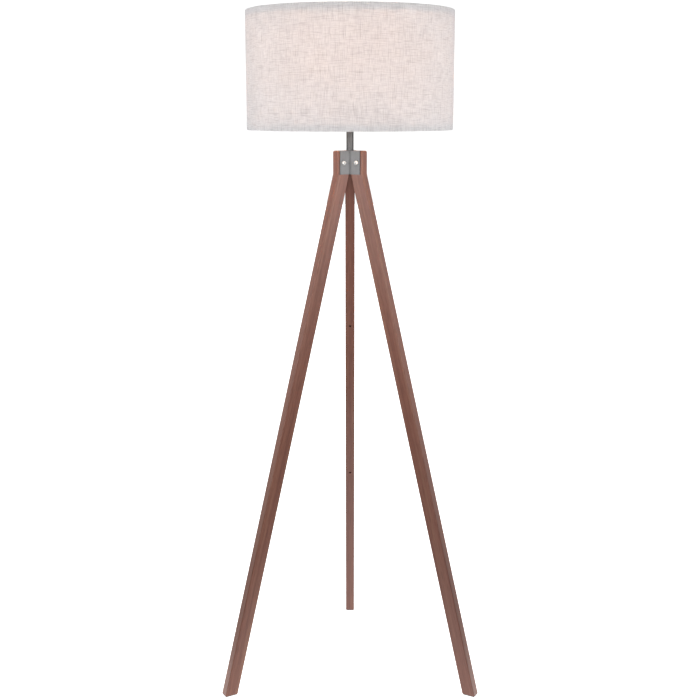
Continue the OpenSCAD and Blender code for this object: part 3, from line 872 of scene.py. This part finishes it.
def spider_arms():
    """Three bent wires: each lies on the fitter ring, then falls straight to the lower wire ring."""
    start = Vector((fitter_high.x - ARM_ON_RING, 0, fitter_high.z + ARM_R))
    wire_r = (wire_high.z - wire_low.z) / 2
    end = Vector((wire_high.x - wire_r, 0, (wire_low.z + wire_high.z) / 2))
    knee = Vector((fitter_high.x + ARM_PAST_RING, 0, start.z))
    points = [start, start.lerp(knee, 0.45)]
    for k in range(7):
        t = k / 6
        a, b = knee.lerp(start, 0.4), knee.lerp(end, 0.025)
        points.append((1 - t) ** 2 * a + 2 * t * (1 - t) * knee + t * t * b)
    points += [knee.lerp(end, f) for f in (0.2, 0.4, 0.6, 0.8, 1.0)]
    arm = as_mesh("arm", lambda bm: swept(bm, points, ARM_R))
    mesh = grown("spider_wires", "ring", arm, count=3, radius=1e-6, turn=REAR)
    piece("spider_wires", smoothed(mesh, 50), "shade", ["spider_arms"], "white_wire")


spider_arms()
eased("fitter_ring", 0.4 * MM, body="shade", angle=60)


def liner():
    """The rolled sheet behind the cloth, stopping just short of the folds."""
    inset = 2.4 * MM
    low, high = SHADE_BOTTOM + inset, SHADE_TOP - inset
    inner = liner_high.x - LINER_T
    rows = [low + (high - low) * k / 12 for k in range(13)]
    profile = [(liner_high.x, z) for z in rows] + [(inner, z) for z in reversed(rows)]
    piece("styrene_liner", spun("styrene_liner", profile, 256), "shade", ["shade_liner"], "liner_sheet")


liner()

# ---- The linen cover ----

COLUMNS = 420
OVERLAP_COLUMNS = 4
SEAM_COLUMNS_FROM_REAR = 15
FOLD_R = 2.2 * MM
WALL_ROWS = 60
HEM_ROWS = 8
HEM_TUCK_H = 4 * MM
TUCK_GAP = 0.2 * MM
LAP_GAP = 0.06 * MM
LAP_COLUMNS = 3
SLUB_DEPTH = 0.11 * MM
SLIT_FOOT = 1.2 * MM


def cover_profile():
    """The cloth's outer face as (r, z) points: down one hem, round the fold, up the wall and back in.
    Past the wire ring the hem is tucked back against the liner."""
    hem_face = HEM_R - LINEN_T
    tucked_face = liner_high.x - LINER_T - LINEN_T - TUCK_GAP
    low = []
    for k in range(HEM_ROWS):
        up = HEM_H - k * (HEM_H - FOLD_R) / HEM_ROWS
        part = min(max((SHADE_BOTTOM + up - wire_high.z) / HEM_TUCK_H, 0), 1)
        eased_part = part * part * (3 - 2 * part)
        low.append((hem_face + (tucked_face - hem_face) * eased_part, SHADE_BOTTOM + up))
    low += arc((hem_face + FOLD_R, SHADE_BOTTOM + FOLD_R), FOLD_R, 180, 270, 4)
    low += arc((SHADE_R - FOLD_R, SHADE_BOTTOM + FOLD_R), FOLD_R, 270, 360, 4)
    high = [(r, SHADE_BOTTOM + SHADE_TOP - z) for r, z in reversed(low)]
    bottom, top = low[-1][1], high[0][1]
    wall = [(SHADE_R, bottom + (top - bottom) * k / WALL_ROWS) for k in range(1, WALL_ROWS)]
    return low + wall + high


def linen_cover():
    """One strip of cloth round the drum. Its far end laps over its start at the seam, and its long edges
    turn in over the wire rings, slit where the arms come through."""
    profile = cover_profile()
    lengths = [0.0]
    for a, b in zip(profile, profile[1:]):
        lengths.append(lengths[-1] + math.dist(a, b))
    normals = []
    for k in range(len(profile)):
        a, b = profile[max(k - 1, 0)], profile[min(k + 1, len(profile) - 1)]
        run = Vector((b[0] - a[0], b[1] - a[1])).normalized()
        normals.append((run.y, -run.x))
    step = 2 * math.pi / COLUMNS
    seam = REAR + SEAM_COLUMNS_FROM_REAR * step
    columns = COLUMNS + OVERLAP_COLUMNS

    def lift(column):
        past = (column - (COLUMNS - LAP_COLUMNS)) / LAP_COLUMNS
        return (LINEN_T + LAP_GAP) * min(max(past, 0), 1)

    def slub(u, v):
        along_warp = field.noise(Vector((u * 160, v * 22, 0.0)))
        along_weft = field.noise(Vector((u * 22, v * 160, 7.0)))
        return SLUB_DEPTH * (along_warp + along_weft)

    def build(bm):
        cloth = bm.loops.layers.uv.new("cloth")
        grid = []
        for i in range(columns + 1):
            angle = seam + i * step
            u = i * step * SHADE_R
            column = []
            for (r, z), (nr, nz), v in zip(profile, normals, lengths):
                out = lift(i) + slub(u, v)
                reach = r + nr * out
                at = (reach * math.cos(angle), reach * math.sin(angle), z + nz * out)
                column.append(bm.verts.new(at))
            grid.append(column)
        slit_foot = SHADE_BOTTOM + SLIT_FOOT
        for i in range(columns):
            middle = seam + (i + 0.5) * step
            from_arm = min(abs(math.remainder(middle - arm, 2 * math.pi))
                           for arm in (REAR, RIGHT, LEFT))
            for j in range(len(profile) - 1):
                in_hem = j < HEM_ROWS + 2 and profile[j][1] > slit_foot
                if in_hem and from_arm < step:
                    continue
                face = bm.faces.new((grid[i][j], grid[i + 1][j], grid[i + 1][j + 1], grid[i][j + 1]))
                for loop, (a, b) in zip(face.loops, ((i, j), (i + 1, j), (i + 1, j + 1), (i, j + 1))):
                    loop[cloth].uv = (a * step * SHADE_R, lengths[b])

    bm = bmesh.new()
    build(bm)
    loose = [v for v in bm.verts if not v.link_faces]
    bmesh.ops.delete(bm, geom=loose, context="VERTS")
    mesh = bpy.data.meshes.new("linen_cover")
    bm.to_mesh(mesh)
    bm.free()
    draft = drafted("linen_cover", mesh)
    wall = draft.modifiers.new("thickness", "SOLIDIFY")
    wall.thickness = LINEN_T
    wall.offset = -1
    mesh = baked(draft)
    cover = piece("linen_cover", smoothed(mesh, 50), "shade", ["shade_linen"], "linen")


linen_cover()

# ---- Studio ----

def floor():
    """A wide floor that only the camera sees."""
    def build(bm):
        bmesh.ops.create_grid(bm, x_segments=8, y_segments=8, size=14)
    mesh = as_mesh("studio_floor", build)
    mesh.materials.append(floor_paint())
    obj = bpy.data.objects.new("studio_floor", mesh)
    bpy.context.scene.collection.objects.link(obj)
    obj.visible_diffuse = False
    obj.visible_glossy = False
    obj.visible_shadow = False


def soft_light(name, place, target, size, power, spread):
    """A white panel that shines at a target; spread is its beam angle in degrees."""
    data = bpy.data.lights.new(name, "AREA")
    data.shape = "ELLIPSE"
    data.size, data.size_y = size
    data.energy = power
    data.spread = math.radians(spread)
    panel = bpy.data.objects.new(name, data)
    panel.location = place
    panel.rotation_euler = (Vector(target) - Vector(place)).to_track_quat("-Z", "Y").to_euler()
    panel.visible_camera = False
    bpy.context.scene.collection.objects.link(panel)


def bulb_light():
    """The light that the lit bulb sends through the shade."""
    low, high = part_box("bulb_dome")
    data = bpy.data.lights.new("bulb_light", "POINT")
    data.shadow_soft_size = (high.x - low.x) / 2
    data.energy = BULB_POWER
    data.color = tone("#ffdfb8")[:3]
    lamp = bpy.data.objects.new("bulb_light", data)
    lamp.location = (0, 0, (low.z + high.z) / 2)
    bpy.context.scene.collection.objects.link(lamp)
    NODES["bulb_dome"].visible_shadow = False


def sky():
    """A plain white surround. The camera sees it burnt out; it lights the lamp mostly from behind, as a
    lit backdrop does."""
    world = bpy.data.worlds.new("studio")
    bpy.context.scene.world = world
    world.use_nodes = True
    tree = world.node_tree
    tree.nodes.clear()
    direction = add(tree, "ShaderNodeTexCoord").outputs["Generated"]
    heading = add(tree, "ShaderNodeSeparateXYZ", {0: direction})
    lit = add(tree, "ShaderNodeMapRange", {
        "Value": heading.outputs["Y"], "From Min": -0.75, "From Max": 0.4,
        "To Min": SKY_FRONT, "To Max": SKY_BACK},
        interpolation_type="SMOOTHSTEP").outputs["Result"]
    seen = add(tree, "ShaderNodeLightPath").outputs["Is Camera Ray"]
    strength = add(tree, "ShaderNodeMapRange", {"Value": seen, "To Min": lit, "To Max": SKY_SEEN})
    shine = add(tree, "ShaderNodeBackground",
                {"Color": tone("#ffffff"), "Strength": strength.outputs["Result"]})
    add(tree, "ShaderNodeOutputWorld", {"Surface": shine.outputs["Background"]})


floor()
sky()
bulb_light()
soft_light("key_left", (-1.3, -0.9, 1.32), (0, 0, 1.29), (0.8, 1.0), KEY_POWER, 95)
soft_light("key_right", (1.3, -0.9, 1.32), (0, 0, 1.29), (0.8, 1.0), KEY_POWER, 95)
soft_light("front", (0, -3.4, 1.15), (0, 0, 1.26), (1.6, 1.2), FRONT_POWER, 50)
soft_light("pool", (0, 0, 0.002), (0, 0, 1), (1.1, 1.1), POOL_POWER, 180)

CAMERA_DISTANCE = 2.6345
CAMERA_HEIGHT = 1.3031
CAMERA_TILT = math.radians(11.522)
camera_data = bpy.data.cameras.new("camera")
camera_data.sensor_width = 36
camera_data.lens = 60.84
camera = bpy.data.objects.new("camera", camera_data)
camera.location = (0, -CAMERA_DISTANCE, CAMERA_HEIGHT)
camera.rotation_euler = (math.pi / 2 - CAMERA_TILT, 0, 0)
bpy.context.scene.collection.objects.link(camera)
bpy.context.scene.camera = camera
bpy.context.scene.view_settings.view_transform = "Standard"
